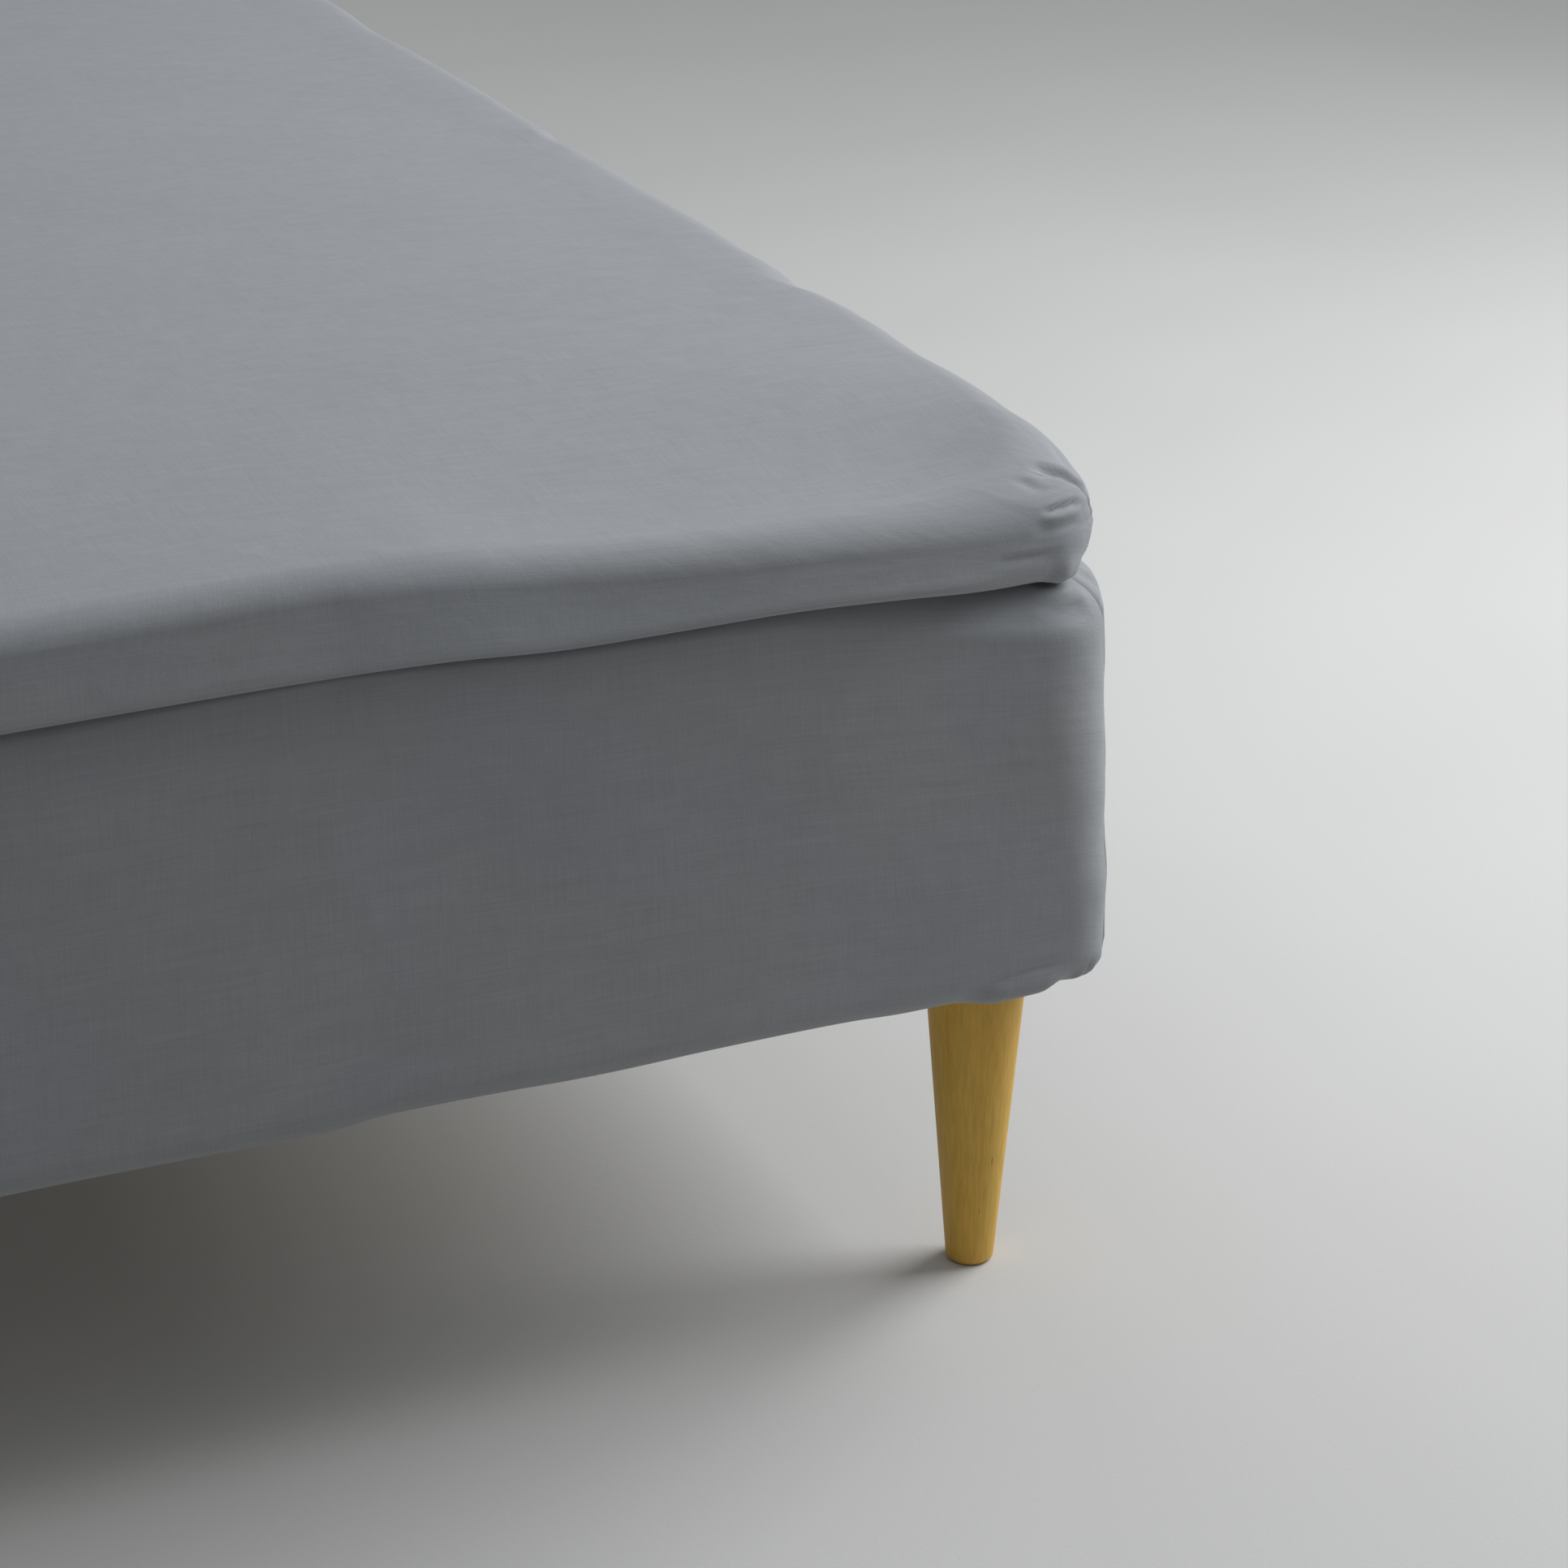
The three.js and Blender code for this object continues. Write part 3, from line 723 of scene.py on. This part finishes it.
def topped_face(face, spacing, relief, drop):
    """Points, quads of the rings, triangles of the flat top, and the X and Y of the points inside it, which
    lie lower by drop."""
    rings, count = face.points.shape[:2]
    inner = fill_points(face, spacing)
    last = (rings - 1) * count
    top = [[last + v for v in triangle] for triangle in fill_ring(face.points[-1], inner)]
    heights = face.section.base + face.section.height + relief(inner[:, 0], inner[:, 1]) - drop
    points = np.concatenate([face.points.reshape(-1, 3), np.column_stack([inner, heights])])
    return points, ring_quads(rings, count), top, inner


def make_sheet(name, face, spacing, relief, material):
    """The sheet as a thin closed mesh, with a UV map of the cloth laid flat, in metres."""
    points, quads, top, inner = topped_face(face, spacing, relief, 0)
    piece = new_piece(name, points, quads.tolist() + top, material)

    end, side = flap_coordinates(face)
    middle = (face.stations.along + np.roll(face.stations.along, -1)) / 2
    on_end = np.tile(middle < 0, len(face.points) - 1)
    ring_loops = np.where(on_end[:, None, None], end[quads], side[quads])
    flat = np.concatenate([end, inner])
    loops = np.concatenate([ring_loops.reshape(-1, 2), flat[np.array(top).ravel()]])
    layer = piece.data.uv_layers.new(name="cloth")
    layer.uv.foreach_set("vector", (loops * MM).astype(np.float32).ravel())

    solidify = piece.modifiers.new("cloth", "SOLIDIFY")
    solidify.thickness = CLOTH * MM
    solidify.offset = -1
    apply_modifiers(piece)
    return piece


def make_core(name, face, spacing, relief, material):
    """The mattress inside a sheet: the face closed with a flat underside and a top like its sheet's."""
    points, quads, top, _ = topped_face(face, spacing, relief, CORE_INSIDE["level"])
    bottom = [triangle[::-1] for triangle in fill_ring(face.points[0], [])]
    return new_piece(name, points, quads.tolist() + top + bottom, material)


def leg_profile(height):
    """Radius and height up the leg, from the middle of its foot to the middle of its top."""
    rounding = LEG_FOOT["rounding"]
    profile = [(0, 0)]
    for i in range(LEG_STEPS["rounding"] + 1):
        angle = math.pi / 2 * i / LEG_STEPS["rounding"]
        inward = LEG_FOOT["radius"] - rounding * (1 - math.sin(angle))
        profile.append((inward, rounding * (1 - math.cos(angle))))
    shoulder = height - LEG_TOP["chamfer"]
    for i in range(1, LEG_STEPS["taper"] + 1):
        share = i / LEG_STEPS["taper"]
        radius = mix(LEG_FOOT["radius"], LEG_TOP["radius"], share)
        profile.append((radius, mix(rounding, shoulder, share)))
    profile.append((LEG_TOP["radius"] - LEG_TOP["chamfer"], height))
    profile.append((0, height))
    return profile


def make_leg(node, material):
    """A round leg where the CAD node stands."""
    low, high = size_of(node)
    centre_x, centre_y = (low[0] + high[0]) / 2, (low[1] + high[1]) / 2
    profile = leg_profile(high[2])
    sides = LEG_STEPS["round"]
    points = [(centre_x, centre_y, 0)]
    for radius, z in profile[1:-1]:
        for k in range(sides):
            angle = 2 * math.pi * k / sides
            points.append((centre_x + radius * math.cos(angle), centre_y + radius * math.sin(angle), z))
    points.append((centre_x, centre_y, high[2]))
    faces = (ring_quads(len(profile) - 2, sides) + 1).tolist()
    last = len(points) - 1
    for k in range(sides):
        j = (k + 1) % sides
        faces.append((0, 1 + j, 1 + k))
        faces.append((last - sides + k, last - sides + j, last))
    leg = new_piece(f"wood_{node}", points, faces, material)
    leg.data.set_sharp_from_angle(angle=math.radians(LEG_SHARP))
    return leg


# ------------------------------------------------------------------ materials
class Nodes:
    """A material's node tree, with short calls for the nodes that are used here."""

    def __init__(self, name):
        self.material = bpy.data.materials.new(name)
        self.material.use_nodes = True
        self.tree = self.material.node_tree
        self.shader = self.tree.nodes["Principled BSDF"]

    def add(self, kind, inputs=None, **settings):
        node = self.tree.nodes.new(kind)
        for key, value in settings.items():
            setattr(node, key, value)
        for key, value in (inputs or {}).items():
            if isinstance(value, bpy.types.NodeSocket):
                self.tree.links.new(value, node.inputs[key])
            else:
                node.inputs[key].default_value = value
        return node

    def scaled(self, vector, scale):
        return self.add("ShaderNodeMapping", {"Vector": vector, "Scale": scale}).outputs["Vector"]

    def noise(self, vector, scale, detail=2.0, distortion=0.0):
        """Noise from 0 to 1, with a different scale along each axis, in waves to the metre."""
        inputs = {
            "Vector": self.scaled(vector, scale),
            "Scale": 1,
            "Detail": detail,
            "Distortion": distortion,
        }
        return self.add("ShaderNodeTexNoise", inputs).outputs["Fac"]

    def ranged(self, value, low, high, to_low, to_high):
        inputs = {"Value": value, "From Min": low, "From Max": high, "To Min": to_low, "To Max": to_high}
        return self.add("ShaderNodeMapRange", inputs).outputs["Result"]

    def math(self, operation, a, b):
        return self.add("ShaderNodeMath", {0: a, 1: b}, operation=operation).outputs[0]

    def blend(self, share, a, b, mode="MIX"):
        """A mix of two colours. A colour mix takes its factor and colours at sockets 0, 6 and 7."""
        inputs = {0: share, 6: a, 7: b}
        return self.add("ShaderNodeMix", inputs, data_type="RGBA", blend_type=mode).outputs[2]

    def grey(self, value):
        """A value as a colour to multiply with."""
        inputs = {"Red": value, "Green": value, "Blue": value}
        return self.add("ShaderNodeCombineColor", inputs).outputs["Color"]

    def bump(self, height, distance, strength=1.0, normal=None):
        inputs = {"Height": height, "Distance": distance, "Strength": strength}
        if normal is not None:
            inputs["Normal"] = normal
        return self.add("ShaderNodeBump", inputs).outputs["Normal"]

    def finish(self, colour, normal, **shader):
        self.tree.links.new(colour, self.shader.inputs["Base Color"])
        self.tree.links.new(normal, self.shader.inputs["Normal"])
        for key, value in shader.items():
            self.shader.inputs[key.replace("_", " ")].default_value = value
        return self.material


def sheet_cotton():
    """Plain-woven cotton: slubby threads both ways, faint streaks and patches, fine weave, soft crumple."""
    n = Nodes("sheet_cotton")
    cloth = n.add("ShaderNodeUVMap", uv_map="cloth").outputs["UV"]
    lengthways = n.noise(cloth, (900, 30, 1), 2)
    crossways = n.noise(cloth, (24, 1000, 1), 2)
    streaks = n.noise(cloth, (15, 230, 1), 2)
    patches = n.noise(cloth, (38, 70, 1), 2)
    long_slubs = n.ranged(lengthways, 0.3, 0.7, -0.035, 0.035)
    cross_slubs = n.ranged(crossways, 0.3, 0.7, -0.04, 0.04)
    slubs = n.math("ADD", long_slubs, cross_slubs)
    faint_streaks = n.ranged(streaks, 0.3, 0.7, -0.022, 0.022)
    faint_patches = n.ranged(patches, 0.3, 0.7, 0.982, 1.018)
    broad = n.math("ADD", faint_streaks, faint_patches)
    grain = n.ranged(n.noise(cloth, (1500, 1500, 1), 1), 0.25, 0.75, 0.98, 1.02)
    tone = n.math("MULTIPLY", n.math("ADD", slubs, broad), grain)
    cloud = n.ranged(n.noise(cloth, (5, 5, 1), 2, 0.6), 0.4, 0.6, 0, 1)
    base = n.blend(cloud, (0.298, 0.308, 0.324, 1), (0.302, 0.309, 0.32, 1))
    colour = n.blend(1, base, n.grey(tone), "MULTIPLY")

    crumple = n.noise(cloth, (34, 34, 1), 3, 0.4)
    threads = n.math("ADD", n.noise(cloth, (1800, 300, 1), 1), n.noise(cloth, (300, 1800, 1), 1))
    soft = n.bump(crumple, 0.0007)
    normal = n.bump(threads, 0.00012, 0.7, soft)
    shader = {"Roughness": 0.88, "Sheen_Weight": 0.12, "Sheen_Roughness": 0.5, "Specular_IOR_Level": 0.25}
    return n.finish(colour, normal, **shader)


def mattress_ticking():
    """Off-white nonwoven cover, finely dotted."""
    n = Nodes("ticking")
    spot = n.add("ShaderNodeTexCoord").outputs["Object"]
    fibres = n.noise(spot, (160, 160, 160), 4, 1.5)
    dots = n.add("ShaderNodeTexVoronoi", {"Vector": spot, "Scale": 420}).outputs["Distance"]
    colour = n.blend(n.ranged(fibres, 0.35, 0.65, 0, 1), (0.66, 0.65, 0.61, 1), (0.74, 0.73, 0.70, 1))
    normal = n.bump(n.math("ADD", fibres, dots), 0.0004)
    return n.finish(colour, normal, Roughness=0.9, Specular_IOR_Level=0.2)


def topper_foam():
    """Cream foam with fine open pores, whose pits carry painted shade."""
    n = Nodes("foam")
    spot = n.add("ShaderNodeTexCoord").outputs["Object"]
    pores = n.add("ShaderNodeTexVoronoi", {"Vector": spot, "Scale": 700}).outputs["Distance"]
    cloud = n.noise(spot, (9, 9, 9), 2)
    colour = n.blend(n.ranged(cloud, 0.35, 0.65, 0, 1), (0.80, 0.77, 0.69, 1), (0.86, 0.84, 0.77, 1))
    # Painted shade: the colour darkens to 0.8 in the pores' pits, where the bump sinks them.
    colour = n.blend(1, colour, n.grey(n.ranged(pores, 0, 0.6, 0.8, 1)), "MULTIPLY")
    return n.finish(colour, n.bump(pores, 0.0004), Roughness=0.95, Specular_IOR_Level=0.2)


def leg_wood():
    """Golden hardwood with upright grain, growth bands and a few short dark pores, in a satin finish."""
    n = Nodes("leg_wood")
    spot = n.add("ShaderNodeTexCoord").outputs["Object"]
    bands = n.noise(spot, (75, 75, 2.2), 3, 0.7)
    fibres = n.noise(spot, (620, 620, 16), 3)
    colour = n.blend(n.ranged(bands, 0.35, 0.65, 0, 1), (0.69, 0.40, 0.065, 1), (0.71, 0.44, 0.085, 1))
    colour = n.blend(1, colour, n.grey(n.ranged(fibres, 0.3, 0.7, 0.88, 1.08)), "MULTIPLY")
    pores = n.noise(spot, (260, 260, 45), 0)
    pore = n.ranged(pores, 0.80, 0.84, 0, 0.6)
    colour = n.blend(pore, colour, (0.22, 0.11, 0.02, 1))
    depth = n.math("SUBTRACT", fibres, pore)
    return n.finish(colour, n.bump(depth, 0.00015), Roughness=0.5, Specular_IOR_Level=0.3)


# ------------------------------------------------------------------ the bed
def ride_and_name(piece, node):
    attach(piece, "root")
    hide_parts(node)


cotton = sheet_cotton()

box_core = make_core("mattress_body", box_face(CORE_STEPS, True), CORE_FILL, crown, mattress_ticking())
ride_and_name(box_core, "box_mattress")

topper_core = make_core("topper_foam", topper_face(CORE_STEPS, True), CORE_FILL, top_relief, topper_foam())
ride_and_name(topper_core, "topper")

box_sheet = make_sheet("fitted_sheet_box", box_face(BOX_STEPS), BOX_FILL, crown, cotton)
ride_and_name(box_sheet, "box_sheet")

topper_sheet = make_sheet("fitted_sheet_topper", topper_face(TOPPER_STEPS), TOPPER_FILL, top_relief, cotton)
ride_and_name(topper_sheet, "topper_sheet")

wood = leg_wood()
for leg_node in ("leg_foot_right", "leg_head_right", "leg_head_left", "leg_foot_left"):
    ride_and_name(make_leg(leg_node, wood), leg_node)


# ------------------------------------------------------------------ floor, light and camera
FLOOR_HALF = 9000
WINDOW = {
    "place": (2550, -700, 2050),
    "target": (250, -700, 300),
    "size": 2000,
    "power": 88,
    "colour": (0.98, 1, 1.02),
}
# The world's light rises from "level" to "overhead" as its direction's height goes from "from" to 1.
AMBIENT = {"colour": (0.95, 0.99, 1.03, 1), "level": 0.01, "overhead": 0.62, "from": 0.2}
BACKDROP = {"colour": (0.84, 0.85, 0.86, 1), "strength": 1}
# Degrees turned right, tilted down and rolled; lens and sensor in millimetres; how far it sees in metres.
CAMERA = {
    "place": (-575, -2753, 1183),
    "right": 24.77,
    "down": 23.13,
    "roll": 0.10,
    "lens": 90.26,
    "sensor": 36,
    "sees": 100,
}


def pale_floor():
    n = Nodes("floor")
    spot = n.add("ShaderNodeTexCoord").outputs["Object"]
    cloud = n.noise(spot, (1.5, 1.5, 1.5), 2)
    colour = n.blend(n.ranged(cloud, 0.35, 0.65, 0, 1), (0.545, 0.535, 0.52, 1), (0.565, 0.555, 0.54, 1))
    return n.finish(colour, n.bump(n.noise(spot, (300, 300, 300), 1), 0.0001), Roughness=0.8)


def aim(thing, place, target):
    thing.location = Vector(place) * MM
    thing.rotation_euler = (Vector(target) - Vector(place)).to_track_quat("-Z", "Y").to_euler()


def soft_light(name, place, target, size, power, colour):
    lamp = bpy.data.lights.new(name, "AREA")
    lamp.shape = "SQUARE"
    lamp.size = size * MM
    lamp.energy = power
    lamp.color = colour
    light = bpy.data.objects.new(name, lamp)
    bpy.context.scene.collection.objects.link(light)
    aim(light, place, target)


def studio_world():
    """Soft light from overhead, and a plain pale backdrop that the camera and glossy reflections see."""
    world = bpy.data.worlds.new("studio")
    world.use_nodes = True
    bpy.context.scene.world = world
    nodes, links = world.node_tree.nodes, world.node_tree.links
    ambient = nodes["Background"]
    ambient.inputs["Color"].default_value = AMBIENT["colour"]
    direction = nodes.new("ShaderNodeTexCoord")
    parts = nodes.new("ShaderNodeSeparateXYZ")
    overhead = nodes.new("ShaderNodeMapRange")
    overhead.interpolation_type = "SMOOTHSTEP"
    overhead.inputs["From Min"].default_value = AMBIENT["from"]
    overhead.inputs["To Min"].default_value = AMBIENT["level"]
    overhead.inputs["To Max"].default_value = AMBIENT["overhead"]
    links.new(direction.outputs["Generated"], parts.inputs[0])
    links.new(parts.outputs["Z"], overhead.inputs["Value"])
    links.new(overhead.outputs["Result"], ambient.inputs["Strength"])
    backdrop = nodes.new("ShaderNodeBackground")
    backdrop.inputs["Color"].default_value = BACKDROP["colour"]
    backdrop.inputs["Strength"].default_value = BACKDROP["strength"]
    path = nodes.new("ShaderNodeLightPath")
    seen = nodes.new("ShaderNodeMath")
    seen.operation = "MAXIMUM"
    links.new(path.outputs["Is Camera Ray"], seen.inputs[0])
    links.new(path.outputs["Is Glossy Ray"], seen.inputs[1])
    choice = nodes.new("ShaderNodeMixShader")
    links.new(seen.outputs[0], choice.inputs[0])
    links.new(ambient.outputs[0], choice.inputs[1])
    links.new(backdrop.outputs[0], choice.inputs[2])
    links.new(choice.outputs[0], nodes["World Output"].inputs["Surface"])


def new_camera():
    """The camera, turned right from looking along the bed, then tilted down and rolled."""
    lens = bpy.data.cameras.new("camera")
    lens.lens = CAMERA["lens"]
    lens.sensor_width = CAMERA["sensor"]
    lens.clip_end = CAMERA["sees"]
    camera = bpy.data.objects.new("camera", lens)
    bpy.context.scene.collection.objects.link(camera)
    turn = Matrix.Rotation(math.radians(-CAMERA["right"]), 4, "Z")
    tilt = Matrix.Rotation(math.radians(90 - CAMERA["down"]), 4, "X")
    roll = Matrix.Rotation(math.radians(CAMERA["roll"]), 4, "Z")
    camera.matrix_world = Matrix.Translation(Vector(CAMERA["place"]) * MM) @ turn @ tilt @ roll
    return camera


corners = [(sx * FLOOR_HALF, sy * FLOOR_HALF, 0) for sx, sy in ((-1, -1), (1, -1), (1, 1), (-1, 1))]
floor = new_piece("floor", corners, [(0, 1, 2, 3)], pale_floor())
soft_light("window", **WINDOW)
studio_world()
bpy.context.scene.camera = new_camera()
bpy.context.scene.view_settings.view_transform = "Standard"
